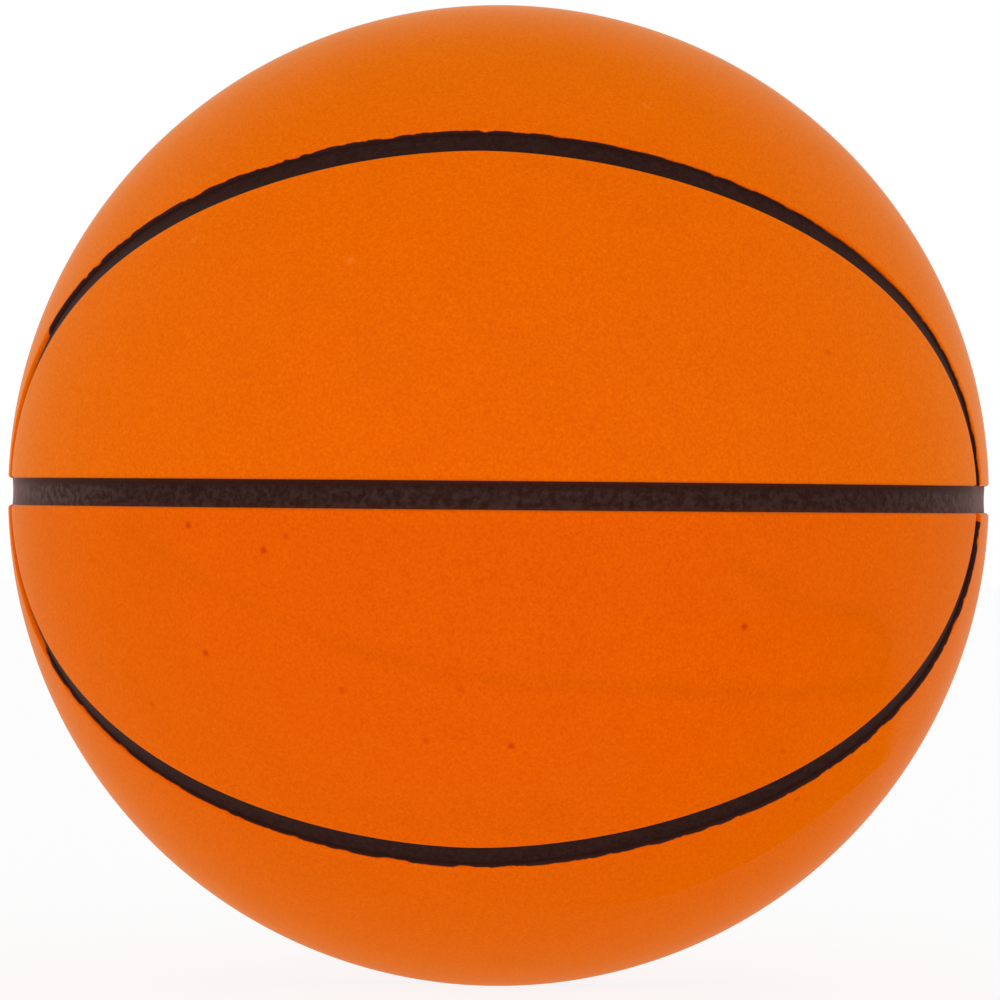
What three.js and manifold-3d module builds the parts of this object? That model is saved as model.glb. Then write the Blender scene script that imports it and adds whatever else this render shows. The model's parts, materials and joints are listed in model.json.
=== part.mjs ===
// Toy basketball, 130 mm across: a cover of eight rubber panels with recessed black seam strips between
// them, over a rubber carcass, a thread winding and an air bladder, and closed by a needle valve.
// Millimetres, +Z up, origin at the ball's centre. The front loop of the seam pattern faces -Y, the
// equator seam lies in the XY plane, and the side seam runs over the top in the XZ plane.
import * as THREE from "three";
import { mergeVertices } from "three/addons/utils/BufferGeometryUtils.js";
import Module from "manifold-3d";

// Driving dimensions: the cover
const BALL_DIAMETER = 130;
const PANEL_THICKNESS = 1.5;
const PANEL_EDGE_ROUND = 0.5;
const SEAM_DEPTH = 0.6; // how far the strips lie below the panels' surface
const EQUATOR_STRIP_WIDTH = 2.9;
const SIDE_STRIP_WIDTH = 2.9;
const LOOP_STRIP_WIDTH = 2.6; // at the loop's crown
const LOOP_STRIP_TIP_WIDTH = 1.8; // where the loop meets the equator
const SEAM_CLEARANCE = 0.3; // between a strip and the panels and strips beside it

// Driving dimensions: the seam pattern, measured along the surface
const LOOP_TO_SIDE_SEAM = 15.6; // on the equator, from a loop's middle line to the side seam's
const UPPER_CROWN = 48.1; // from the equator up to an upper loop's middle line
const LOWER_CROWN = 49.5; // the lower loops were laid a little further out
const LOOP_LEANNESS = 1.09; // 1 makes a loop an ellipse, and more draws its flanks in

// Driving dimensions: the layers under the cover, outermost first
const BOND_LINE = 0.3; // between one layer and the next
const CARCASS_WALL = 0.8;
const WINDING_WALL = 0.6;
const BLADDER_WALL = 0.9;

// Driving dimensions: the needle valve
const VALVE_TILT_DEG = 22; // above the equator, at the back
const VALVE_RECESS = 0.5; // from the cover's surface down to the valve's rim
const VALVE_BEVEL = 0.3;
const NEEDLE_RADIUS = 0.8;
const NEEDLE_END_WALL = 4; // of rubber below the needle's blind channel, in the boss
const FUNNEL_FLARE = 0.7; // how much wider the funnel's mouth is than the channel
const FUNNEL_DEPTH = 0.7;
const STEM_RADIUS = 2.35;
const HEAD_LIP = 1.55; // how far the plug's head stands out round its stem
const HEAD_HEIGHT = 1.8;
const PLUG_CLEARANCE = 0.25; // round the plug, and under its head
const PLUG_TIP_LENGTH = 1.2; // the rounded end that stands out of the boss
const NECK_WALL = 0.8; // of the seat round the plug's head
const RIM_LEDGE = 1.05; // how far the seat's rim lies on the carcass round its neck
const BOSS_WALL = 3; // of the seat round the plug's stem
const BOSS_LENGTH = 12; // from the flange's inner face into the air space
const FLANGE_REACH = 6.4; // how far the flange lies under the bladder round the boss
const FLANGE_WALL = 1.4;

// How finely the curved pieces are divided
const LENS_STEPS = { along: 18, across: 6 };
const WRAP_STEPS = { along: 22, across: 6 };
const STRIP_STEPS = { along: 24, across: 1 };
const RING_SEGMENTS = 64;
const LAYER_SEGMENTS = 22;
const LAYER_ARC_STEPS = 10;
const COLLAR_STEPS = 2;
const VALVE_SEGMENTS = 22;
const TIP_ARC_STEPS = 3;
const PANEL_FACET_DEG = 8.3; // the panels' facets are no wider than this, seen from the ball's centre
const EDGE_ROW_SHARE = 0.3; // where a rounded edge has its middle row of points
const LENGTH_STEPS = 16; // for measuring a curved line
const LENS_SHOULDER = Math.PI / 5; // where a lens panel's top side line gives way to its left and right ones

// Sizes that follow from the driving dimensions
const BALL_RADIUS = BALL_DIAMETER / 2;
const PANEL_BASE = BALL_RADIUS - PANEL_THICKNESS;
const STRIP_TOP = BALL_RADIUS - SEAM_DEPTH;
const FACET_DIP = PANEL_BASE * (1 - Math.cos(THREE.MathUtils.degToRad(PANEL_FACET_DEG) / Math.SQRT2));
const CARCASS_OUTER = PANEL_BASE - FACET_DIP - BOND_LINE;
const WINDING_OUTER = CARCASS_OUTER - CARCASS_WALL - BOND_LINE;
const BLADDER_OUTER = WINDING_OUTER - WINDING_WALL - BOND_LINE;
const BLADDER_INNER = BLADDER_OUTER - BLADDER_WALL;
const LOOP_REACH = Math.PI / 2 - LOOP_TO_SIDE_SEAM / BALL_RADIUS;
const EQUATOR_EDGE = EQUATOR_STRIP_WIDTH / 2 / BALL_RADIUS;
const SIDE_EDGE = SIDE_STRIP_WIDTH / 2 / BALL_RADIUS;
const SEAM_GAP = SEAM_CLEARANCE / BALL_RADIUS;
const VALVE_TILT = THREE.MathUtils.degToRad(VALVE_TILT_DEG);
const RIM_TOP = BALL_RADIUS - VALVE_RECESS;
const FUNNEL_RADIUS = NEEDLE_RADIUS + FUNNEL_FLARE;
const HEAD_RADIUS = STEM_RADIUS + HEAD_LIP;
const BORE_RADIUS = STEM_RADIUS + PLUG_CLEARANCE;
const COUNTERBORE_RADIUS = HEAD_RADIUS + PLUG_CLEARANCE;
const NECK_RADIUS = COUNTERBORE_RADIUS + NECK_WALL;
const RIM_RADIUS = NECK_RADIUS + RIM_LEDGE;
const BOSS_RADIUS = BORE_RADIUS + BOSS_WALL;
const FLANGE_RADIUS = BOSS_RADIUS + FLANGE_REACH;

const wasm = await Module();
wasm.setup();
const { lerp } = THREE.MathUtils;

// Finishes: each piece gets a material of its own from one of these.
const ORANGE_RUBBER = { color: 0xe86200, roughness: 0.35, metalness: 0 };
const BLACK_RUBBER = { color: 0x2e1c18, roughness: 0.5, metalness: 0 };
const CARCASS_RUBBER = { color: 0x3a322d, roughness: 0.7, metalness: 0 };
const NYLON_THREAD = { color: 0xd9d4c4, roughness: 0.8, metalness: 0 };
const BUTYL_RUBBER = { color: 0x1c1c1e, roughness: 0.6, metalness: 0 };

// A point on the unit sphere: longitude from the front towards +X, latitude up from the equator.
function direction(longitude, latitude) {
  const level = Math.cos(latitude);
  return new THREE.Vector3(
    level * Math.sin(longitude),
    -level * Math.cos(longitude),
    Math.sin(latitude),
  );
}

function signedPower(value, power) {
  return Math.sign(value) * Math.abs(value) ** power;
}

// The front loop's upper middle line: half a lean ellipse in longitude and latitude, from its right end
// at t = 0 over the crown to its left end at t = pi. It meets the equator square.
function loopMiddle(t, crown) {
  return direction(
    LOOP_REACH * signedPower(Math.cos(t), LOOP_LEANNESS),
    (crown / BALL_RADIUS) * signedPower(Math.sin(t), LOOP_LEANNESS),
  );
}

// A line beside the loop's middle line, as far off as half the strip's width there and a clearance.
// Side 1 lies outside the loop and side -1 inside it.
function loopEdge(crown, side, clearance) {
  const tangentStep = 1e-4;
  return (t) => {
    const middle = loopMiddle(t, crown);
    const outward = loopMiddle(t + tangentStep, crown)
      .sub(loopMiddle(t - tangentStep, crown))
      .cross(middle)
      .normalize();
    const width = lerp(LOOP_STRIP_TIP_WIDTH, LOOP_STRIP_WIDTH, Math.sin(t));
    const angle = side * (width / 2 / BALL_RADIUS + clearance);
    return middle.multiplyScalar(Math.cos(angle)).addScaledVector(outward, Math.sin(angle));
  };
}

// Where such a line, followed up from its right end, reaches a latitude.
function parameterAtLatitude(line, latitude) {
  const halvings = 50;
  let low = -Math.PI / 6;
  let high = Math.PI / 2;
  for (let step = 0; step < halvings; step += 1) {
    const middle = (low + high) / 2;
    if (line(middle).z < Math.sin(latitude)) low = middle;
    else high = middle;
  }
  return high;
}

// A line beside the side seam's middle, over the top from +X at angle 0 to -X at angle pi.
function sideLine(angle, offset) {
  const level = Math.cos(offset);
  return new THREE.Vector3(level * Math.cos(angle), Math.sin(offset), level * Math.sin(angle));
}

// A four-sided patch of the sphere, blended from its four side lines (a Coons patch).
function blendedPatch({ bottom, top, left, right }) {
  const corners = [bottom(0), bottom(1), top(0), top(1)];
  return (u, v) => {
    const weights = [(1 - u) * (1 - v), u * (1 - v), (1 - u) * v, u * v];
    const point = bottom(u)
      .multiplyScalar(1 - v)
      .addScaledVector(top(u), v)
      .addScaledVector(left(v), 1 - u)
      .addScaledVector(right(v), u);
    corners.forEach((corner, k) => point.addScaledVector(corner, -weights[k]));
    return point.normalize();
  };
}

// The length of a line on the unit sphere, carried out to a radius.
function lineLength(line, radius) {
  let angle = 0;
  for (let k = 0; k < LENGTH_STEPS; k += 1) {
    angle += line(k / LENGTH_STEPS).angleTo(line((k + 1) / LENGTH_STEPS));
  }
  return angle * radius;
}

// Positions along a line of some length: even steps, with two extra rows at each end for a rounded edge.
// Each has its share of the way along and its distance from the nearer end.
function roundedRows(steps, length, round) {
  const ends = round > 0 ? [0, EDGE_ROW_SHARE * round, round] : [0];
  const middle = [];
  const first = ends.at(-1);
  for (let k = 1; k < steps; k += 1) middle.push(lerp(first, length - first, k / steps));
  const distances = [...ends, ...middle, ...ends.map((d) => length - d).reverse()];
  return distances.map((d) => ({ share: d / length, inset: Math.min(d, length - d) }));
}

// How far a rounded edge falls below the surface at a distance from the edge.
function edgeDrop(inset, round) {
  const reach = Math.max(0, round - inset);
  return round - Math.sqrt(round * round - reach * reach);
}

// A closed solid over a patch of the sphere: an outer and an inner face, and a wall round the border.
// Each row and column is divided by its own length, so that a rounded edge is as wide all the way round.
function patchSolid(sides, steps, outerRadius, innerRadius, round) {
  const patch = blendedPatch(sides);
  const rowsAlong = (v) =>
    roundedRows(steps.along, lineLength((u) => patch(u, v), outerRadius), round);
  const rowsAcross = (u) =>
    roundedRows(steps.across, lineLength((v) => patch(u, v), outerRadius), round);
  const alongOfRow = rowsAcross(0.5).map(({ share }) => rowsAlong(share));
  const acrossOfColumn = rowsAlong(0.5).map(({ share }) => rowsAcross(share));
  const columns = acrossOfColumn.length;
  const rows = alongOfRow.length;
  const positions = [];
  for (let row = 0; row < rows; row += 1) {
    for (let column = 0; column < columns; column += 1) {
      const along = alongOfRow[row][column];
      const across = acrossOfColumn[column][row];
      const drop = edgeDrop(Math.min(along.inset, across.inset), round);
      const point = patch(along.share, across.share);
      positions.push(...point.clone().multiplyScalar(outerRadius - drop));
      positions.push(...point.multiplyScalar(innerRadius));
    }
  }
  const outer = (column, row) => 2 * (row * columns + column);
  const inner = (column, row) => outer(column, row) + 1;
  const triangles = [];
  for (let row = 0; row < rows - 1; row += 1) {
    for (let column = 0; column < columns - 1; column += 1) {
      const square = [[column, row], [column + 1, row], [column + 1, row + 1], [column, row + 1]];
      const [a, b, c, d] = square.map((corner) => outer(...corner));
      const [e, f, g, h] = square.map((corner) => inner(...corner));
      triangles.push(a, b, c, a, c, d, e, g, f, e, h, g);
    }
  }
  const border = [];
  for (let k = 0; k < columns - 1; k += 1) border.push([k, 0]);
  for (let k = 0; k < rows - 1; k += 1) border.push([columns - 1, k]);
  for (let k = columns - 1; k > 0; k -= 1) border.push([k, rows - 1]);
  for (let k = rows - 1; k > 0; k -= 1) border.push([0, k]);
  border.forEach((here, k) => {
    const next = border[(k + 1) % border.length];
    triangles.push(outer(...here), inner(...here), outer(...next));
    triangles.push(inner(...here), inner(...next), outer(...next));
  });
  const geometry = new THREE.BufferGeometry();
  geometry.setAttribute("position", new THREE.Float32BufferAttribute(positions, 3));
  geometry.setIndex(triangles);
  return geometry;
}

// The latitude of the panels' and loop strips' lower edges, beside the equator strip.
const BASE_LATITUDE = EQUATOR_EDGE + SEAM_GAP;

// A lens panel: inside a loop, from the equator up to the loop. Its side lines are the equator's edge
// below and the loop's inner edge, taken in three stretches, round the rest.
function lensPanel(crown) {
  const edge = loopEdge(crown, -1, SEAM_GAP);
  const start = parameterAtLatitude(edge, BASE_LATITUDE);
  const tip = edge(start);
  const halfSpan = Math.atan2(tip.x, -tip.y);
  const sides = {
    bottom: (u) => direction(lerp(-halfSpan, halfSpan, u), BASE_LATITUDE),
    right: (v) => edge(lerp(start, LENS_SHOULDER, v)),
    top: (u) => edge(lerp(Math.PI - LENS_SHOULDER, LENS_SHOULDER, u)),
    left: (v) => edge(Math.PI - lerp(start, LENS_SHOULDER, v)),
  };
  return patchSolid(sides, LENS_STEPS, BALL_RADIUS, PANEL_BASE, PANEL_EDGE_ROUND);
}

// A wrap panel: outside a loop, from the loop out to the side seam, with both ends on the equator.
function wrapPanel(crown) {
  const edge = loopEdge(crown, 1, SEAM_GAP);
  const start = parameterAtLatitude(edge, BASE_LATITUDE);
  const offset = -(SIDE_EDGE + SEAM_GAP);
  const sideStart = Math.asin(Math.sin(BASE_LATITUDE) / Math.cos(offset));
  const near = edge(start);
  const far = sideLine(sideStart, offset);
  const nearLongitude = Math.atan2(near.x, -near.y);
  const farLongitude = Math.atan2(far.x, -far.y);
  const sides = {
    bottom: (u) => edge(lerp(Math.PI - start, start, u)),
    top: (u) => sideLine(lerp(Math.PI - sideStart, sideStart, u), offset),
    left: (v) => direction(-lerp(nearLongitude, farLongitude, v), BASE_LATITUDE),
    right: (v) => direction(lerp(nearLongitude, farLongitude, v), BASE_LATITUDE),
  };
  return patchSolid(sides, WRAP_STEPS, BALL_RADIUS, PANEL_BASE, PANEL_EDGE_ROUND);
}

// A strip along half a loop, from the equator strip over the crown and down to it again.
function loopStrip(crown) {
  const inside = loopEdge(crown, -1, 0);
  const outside = loopEdge(crown, 1, 0);
  const insideStart = parameterAtLatitude(inside, BASE_LATITUDE);
  const outsideStart = parameterAtLatitude(outside, BASE_LATITUDE);
  const bottom = (u) => inside(lerp(Math.PI - insideStart, insideStart, u));
  const top = (u) => outside(lerp(Math.PI - outsideStart, outsideStart, u));
  return stripSolid(bottom, top);
}

// A strip along half the side seam, over the top from the equator strip to the equator strip.
function sideStrip() {
  const start = Math.asin(Math.sin(BASE_LATITUDE) / Math.cos(SIDE_EDGE));
  const line = (offset) => (u) => sideLine(lerp(Math.PI - start, start, u), offset);
  return stripSolid(line(-SIDE_EDGE), line(SIDE_EDGE));
}

// A seam strip between two edge lines, with square ends.
function stripSolid(bottom, top) {
  const straight = (from, to) => (v) => from.clone().lerp(to, v);
  const sides = { bottom, top, left: straight(bottom(0), top(0)), right: straight(bottom(1), top(1)) };
  return patchSolid(sides, STRIP_STEPS, STRIP_TOP, PANEL_BASE, 0);
}

// A solid of revolution about +Y from [radius, height] points, outside upwards and inside downwards.
function revolved(points, segments) {
  return new THREE.LatheGeometry(points.map(([x, y]) => new THREE.Vector2(x, y)), segments);
}

// The equator strip: one closed ring.
function equatorStrip() {
  const half = EQUATOR_STRIP_WIDTH / 2;
  const section = [
    [PANEL_BASE, -half],
    [STRIP_TOP, -half],
    [STRIP_TOP, half],
    [PANEL_BASE, half],
    [PANEL_BASE, -half],
  ];
  return revolved(section, RING_SEGMENTS);
}

// Points of a circle about the origin, by angle from +Y.
function arcPoints(radius, from, to, steps) {
  const points = [];
  for (let k = 0; k <= steps; k += 1) {
    const angle = lerp(from, to, k / steps);
    points.push([radius * Math.sin(angle), radius * Math.cos(angle)]);
  }
  return points;
}

// The angle from +Y at which a circle about the origin is as far from the axis as x.
function polarAngle(x, radius) {
  return Math.asin(x / radius);
}

// A spherical layer with a round hole for the valve's neck at its +Y pole, finely divided round the hole
// so that the valve's flange fits against it.
function layerShell(outerRadius, wall) {
  const hole = NECK_RADIUS + SEAM_CLEARANCE;
  const collar = FLANGE_RADIUS + SEAM_CLEARANCE;
  const poleToHole = (radius) => {
    const far = arcPoints(radius, Math.PI, polarAngle(collar, radius), LAYER_ARC_STEPS);
    const near = arcPoints(radius, polarAngle(collar, radius), polarAngle(hole, radius), COLLAR_STEPS);
    far[0][0] = 0;
    return [...far, ...near.slice(1)];
  };
  const section = [...poleToHole(outerRadius), ...poleToHole(outerRadius - wall).reverse()];
  return revolved(section, LAYER_SEGMENTS);
}

// Heights along the valve's axis, from the ball's centre outwards
const SHOULDER = CARCASS_OUTER + SEAM_CLEARANCE;
const FLANGE_OUTER = BLADDER_INNER - BOND_LINE;
const FLANGE_INNER = FLANGE_OUTER - FLANGE_WALL;
const BOSS_END = FLANGE_INNER - BOSS_LENGTH;
const HEAD_TOP = RIM_TOP;
const HEAD_BASE = HEAD_TOP - HEAD_HEIGHT;
const COUNTERBORE_FLOOR = HEAD_BASE - PLUG_CLEARANCE;
const NEEDLE_END = BOSS_END + NEEDLE_END_WALL;

// The valve seat: a rim that shows in the cover, a neck through the layers, a flange that follows the
// bladder's inner face and a boss with the plug's bore.
function valveSeat() {
  const face = (radius, from, to) =>
    arcPoints(radius, polarAngle(from, radius), polarAngle(to, radius), COLLAR_STEPS);
  const section = [
    [BORE_RADIUS, BOSS_END],
    [BOSS_RADIUS, BOSS_END],
    ...face(FLANGE_INNER, BOSS_RADIUS, FLANGE_RADIUS),
    ...face(FLANGE_OUTER, FLANGE_RADIUS, NECK_RADIUS),
    [NECK_RADIUS, SHOULDER],
    [RIM_RADIUS, SHOULDER],
    [RIM_RADIUS, RIM_TOP - VALVE_BEVEL],
    [RIM_RADIUS - VALVE_BEVEL, RIM_TOP],
    [COUNTERBORE_RADIUS, RIM_TOP],
    [COUNTERBORE_RADIUS, COUNTERBORE_FLOOR],
    [BORE_RADIUS, COUNTERBORE_FLOOR],
    [BORE_RADIUS, BOSS_END],
  ];
  return revolved(section, VALVE_SEGMENTS);
}

// The valve plug: a head with a funnel for the needle, a stem through the bore and a rounded tip.
function valvePlug() {
  const tip = arcPoints(1, Math.PI, Math.PI / 2, TIP_ARC_STEPS).map(([x, y]) => [
    x * STEM_RADIUS,
    BOSS_END + y * PLUG_TIP_LENGTH,
  ]);
  tip[0][0] = 0;
  const section = [
    ...tip,
    [STEM_RADIUS, HEAD_BASE],
    [HEAD_RADIUS, HEAD_BASE],
    [HEAD_RADIUS, HEAD_TOP - VALVE_BEVEL],
    [HEAD_RADIUS - VALVE_BEVEL, HEAD_TOP],
    [FUNNEL_RADIUS, HEAD_TOP],
    [NEEDLE_RADIUS, HEAD_TOP - FUNNEL_DEPTH],
    [NEEDLE_RADIUS, NEEDLE_END],
    [0, NEEDLE_END],
  ];
  return revolved(section, VALVE_SEGMENTS);
}

// A closed geometry as a solid that can be cut, and a cut solid as a geometry again.
function solidOf(geometry) {
  const bare = geometry.clone();
  bare.deleteAttribute("normal");
  bare.deleteAttribute("uv");
  const merged = mergeVertices(bare);
  return new wasm.Manifold(
    new wasm.Mesh({
      numProp: 3,
      vertProperties: new Float32Array(merged.attributes.position.array),
      triVerts: new Uint32Array(merged.index.array),
    }),
  );
}

function geometryOf(solid) {
  const mesh = solid.getMesh();
  const geometry = new THREE.BufferGeometry();
  geometry.setAttribute("position", new THREE.BufferAttribute(mesh.vertProperties, 3));
  geometry.setIndex(new THREE.BufferAttribute(mesh.triVerts, 1));
  return geometry;
}

// A panel with the round opening that the valve's rim sits in.
function withValveHole(panel) {
  const radius = RIM_RADIUS + SEAM_CLEARANCE;
  const drill = new THREE.CylinderGeometry(radius, radius, BALL_RADIUS, VALVE_SEGMENTS)
    .translate(0, BALL_RADIUS, 0)
    .rotateX(Math.PI - VALVE_TILT);
  return geometryOf(solidOf(panel).subtract(solidOf(drill)));
}

// One piece of the ball: a named mesh with its own material.
function piece(name, geometry, finish) {
  const mesh = new THREE.Mesh(geometry, new THREE.MeshStandardMaterial(finish));
  mesh.name = name;
  return mesh;
}

const basketball = new THREE.Group();

// The cover: each loop has an upper and a lower half, and the back is the front turned half round.
for (const [side, turn] of [["front", 0], ["back", Math.PI]]) {
  const loop = new THREE.Group();
  loop.rotation.z = turn;
  for (const [half, crown, flip] of [["upper", UPPER_CROWN, 0], ["lower", LOWER_CROWN, Math.PI]]) {
    const halfLoop = new THREE.Group();
    halfLoop.rotation.y = flip;
    const holdsValve = side === "back" && half === "upper";
    const lens = holdsValve ? withValveHole(lensPanel(crown)) : lensPanel(crown);
    halfLoop.add(
      piece(`${side}_${half}_lens_panel`, lens, ORANGE_RUBBER),
      piece(`${side}_${half}_wrap_panel`, wrapPanel(crown), ORANGE_RUBBER),
      piece(`${side}_${half}_loop_strip`, loopStrip(crown), BLACK_RUBBER),
    );
    loop.add(halfLoop);
  }
  basketball.add(loop);
}

// The seam strips that belong to neither loop.
const equator = piece("equator_seam_strip", equatorStrip(), BLACK_RUBBER);
equator.rotation.x = Math.PI / 2;
const upperSide = piece("upper_side_seam_strip", sideStrip(), BLACK_RUBBER);
const lowerSide = piece("lower_side_seam_strip", sideStrip(), BLACK_RUBBER);
lowerSide.rotation.y = Math.PI;
basketball.add(equator, upperSide, lowerSide);

// The layers and the valve, all turned about the valve's axis.
const aboutValve = new THREE.Group();
aboutValve.rotation.x = VALVE_TILT;
aboutValve.add(
  piece("carcass", layerShell(CARCASS_OUTER, CARCASS_WALL), CARCASS_RUBBER),
  piece("thread_winding", layerShell(WINDING_OUTER, WINDING_WALL), NYLON_THREAD),
  piece("air_bladder", layerShell(BLADDER_OUTER, BLADDER_WALL), BUTYL_RUBBER),
  piece("valve_seat", valveSeat(), BUTYL_RUBBER),
  piece("valve_plug", valvePlug(), BUTYL_RUBBER),
);
basketball.add(aboutValve);

export default basketball;
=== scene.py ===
"""A small rubber basketball: eight cover panels, recessed black seams, the layers under the cover and a
needle valve, on a plain white stage.

Lengths are in metres in the ball's own frame: the origin is its centre, +Z is up, the front loop of the
seams faces -Y, the equator seam lies in the XY plane and the side seam runs over the top in the XZ plane.
"""

import json
import math

import bmesh
import bpy
import numpy as np
from bpy.props import FloatProperty, FloatVectorProperty, PointerProperty
from mathutils import Matrix, Vector


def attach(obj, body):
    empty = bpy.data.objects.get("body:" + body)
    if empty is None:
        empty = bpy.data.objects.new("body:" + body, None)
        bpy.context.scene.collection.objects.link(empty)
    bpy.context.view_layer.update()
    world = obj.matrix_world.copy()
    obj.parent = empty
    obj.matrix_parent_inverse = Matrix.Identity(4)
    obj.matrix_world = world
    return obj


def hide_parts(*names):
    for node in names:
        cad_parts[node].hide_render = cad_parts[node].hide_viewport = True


bl_info = {
    "name": "Toy Basketball",
    "version": (1, 0, 0),
    "blender": (4, 5, 0),
    "location": "View3D > Sidebar > Ball",
    "description": "Builds a small rubber basketball with recessed seams and a needle valve",
    "category": "Add Mesh",
}

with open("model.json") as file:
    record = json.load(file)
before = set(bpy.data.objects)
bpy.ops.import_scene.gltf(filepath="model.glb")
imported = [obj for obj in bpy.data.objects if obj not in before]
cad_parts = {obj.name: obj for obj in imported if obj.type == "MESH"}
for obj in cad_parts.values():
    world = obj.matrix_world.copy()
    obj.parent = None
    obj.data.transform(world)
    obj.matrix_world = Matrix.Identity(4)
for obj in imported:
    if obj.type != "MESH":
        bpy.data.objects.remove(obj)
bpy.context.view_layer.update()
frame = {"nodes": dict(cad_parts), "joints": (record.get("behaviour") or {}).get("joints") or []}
MM = 0.001
UP = np.array([0.0, 0.0, 1.0])


def node_points(node):
    """The points of a solid of the frame, one in a row."""
    vertices = frame["nodes"][node].data.vertices
    points = np.empty(len(vertices) * 3)
    vertices.foreach_get("co", points)
    return points.reshape(-1, 3)


def radii(node):
    """The nearest and the farthest point of a solid of the frame from the ball's centre."""
    distances = np.linalg.norm(node_points(node), axis=1)
    return float(distances.min()), float(distances.max())


# Sizes that the frame gives
PANEL_BASE, BALL_RADIUS = radii("front_upper_wrap_panel")
STRIP_TOP = radii("upper_side_seam_strip")[1]
VALVE_AXIS = np.array(frame["joints"][0]["axis"])
RIM_TOP = float((node_points("valve_seat") @ VALVE_AXIS).max())
BOSS_END = float((node_points("valve_seat") @ VALVE_AXIS).min())
PLUG_END = float((node_points("valve_plug") @ VALVE_AXIS).min())

# The cover's four quarters, and the layers under it from the outermost inwards
QUARTERS = [(side, half) for side in ("front", "back") for half in ("upper", "lower")]
LAYER_NODES = ("carcass", "thread_winding", "air_bladder")

# How finely the surfaces are divided
LENS_COLUMNS = 180
LENS_ROWS = 44
WRAP_COLUMNS = 180
WRAP_ROWS = 40
EDGE_ROWS = 6  # over a rounded edge
SETTLE = 1.35  # one more row lies this many edge roundings from a border, where the panel is flat again
EDGE_MOST = 0.3  # a rounded edge takes at most this share of a short column
STRIP_COLUMNS = 220
STRIP_ROWS = 8
RING_SEGMENTS = 320
LAYER_SEGMENTS = 128
LAYER_ARC_STEPS = 64
VALVE_SEGMENTS = 96
FILLET_STEPS = 5
HOLE_ROWS = 5
HOLE_BLOCK = 2  # a panel's grid gives way to rings within this many of the valve hole's radii
CARD_STEPS = 48
MERGE_DISTANCE = 1e-7  # points that lie nearer each other become one
SHARP_ANGLE = math.radians(35)  # an edge that turns more stays sharp

# How a loop's line is followed by its parameter
TANGENT_STEP = 1e-4  # to both sides of a point, for the line's tangent
FOOT_STEPS = 6  # of Newton's method, to the foot of a perpendicular
START_RANGE = (-math.pi / 6, math.pi / 2)  # from below the equator up to the crown
START_STEPS = 20000  # over that range, to find where the line reaches a latitude

# How much of its reach the black paint bleeds over the panels' edges
CALM_BLEED = 0.05  # over edges other than a loop's outer one
CLEAN_BLEED = -4  # keeps the paint off an edge and the wall below it
RAGGED_PLACES = (-0.28, 0.78, 0.93)  # from a loop's left to its right end, in shares of the ball's radius
UPPER_BLEED = (1, 0.05, 0.35)  # there, over an upper loop's outer edge
LOWER_BLEED = (1, 0.2, 0.7)  # and over a lower loop's, before it is turned round to the lower half
CLEAN_HEIGHTS = (15 * MM, 20 * MM)  # above the equator's edge, where a clean end goes over to paint
GAP_REACH = 2 * MM  # how far beside a loop's strip the gap in its paint reaches
HIDDEN_SEAM = -1 * MM  # the distance to the border that hidden faces get, so that paint covers them
CLEAR_OF_SEAM = 10 * MM  # and that the valve hole's faces get, so that none is painted

# The paint itself
PAINT_REACH = 0.36 * MM  # it covers a panel's edge this far beside a loop
PAINT_DENT = 0.26 * MM  # and this much less in the dents of its ragged outline
PAINT_DENTS = (0.4, 0.7)  # the noise goes over from bulges to dents between these values
PAINT_SOFTNESS = 0.06 * MM  # half the width of its soft outline
EDGE_PAINT_PAINTED_LIGHT = 1.5  # painted light: the paint on the rounded edges, which get less light, is made paler than the strips

# Wear on the cover, as (longitude, latitude) in degrees
SCUFF = (
    (-42.6, -4), (-33.6, -8), (-25.6, -12), (-15.6, -16), (-3.6, -19.5), (10.4, -20.5), (27.4, -21.3),
    (38.4, -21.8), (55.4, -21), (55.4, -16), (50.4, -13), (37.4, -11), (29.4, -7),
)
BOLD_FLECKS = ((-32.7, -3.5), (-23, -6.1), (-32.2, -17.6), (4.9, -27.9), (31.6, -14))
FAINT_FLECKS = (
    (-20.3, -4.6), (-15, -21.5), (-1.1, -21.2), (-5.4, -27.3),
    (41.8, -28.9), (48.8, -35.6), (43.6, 16.1), (-43.3, -24),
)
PALE_FLECKS = ((-15.2, 26), (28, 49), (-39.1, 29))
SCUFF_WIDTH = 0.9 * MM  # from its middle line to where it is about a third as strong
SCUFF_STEPS = 400  # along its line
SCUFF_TONE = 0.05  # how much darker the cover is there
DARK_FLECK_RADIUS = 0.75 * MM  # a fleck fades out this far from its middle
BOLD_FLECK_DEPTH = 0.82
FAINT_FLECK_DEPTH = 0.4
PALE_FLECK_RADIUS = 0.8 * MM
PALE_FLECK_DEPTH = 0.45

# Dust on the strips, with painted shade, painted sheen and a painted orange bounce on the equator's strip
STRIP_GAP = 0.02 * MM  # left between a strip and the panels beside it
LOOP_DUST = 0.1  # share of dust on strips other than the equator's
DUST_AND_SHADE_HEIGHTS = (0.25, 0.75)  # across the equator's strip, in shares of half its width
EQUATOR_DUST_AND_SHADE = (0.3, 0)  # share of dust there; the upper edge is left black as painted shade under the panel above
PAINTED_SHEEN_PLACES = (-0.84, -0.66, 0.74, 0.92)  # from left to right across the ball, in shares of its radius
PAINTED_SHEEN_GAIN = (2.8, 1, 1, 2.4)  # how much more dust colour lies there: painted sheen on the strip's ends
DUST_BLOTS = (0.35, 0.65)  # the noise goes over from clean rubber to dust between these values
PAINTED_BOUNCE_EDGE = (0.7, 1)  # across the equator's strip, where a painted orange bounce from the panels beside it lies
PAINTED_BOUNCE_SHARE = 0.05  # share of that painted orange at the strip's very edge
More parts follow.
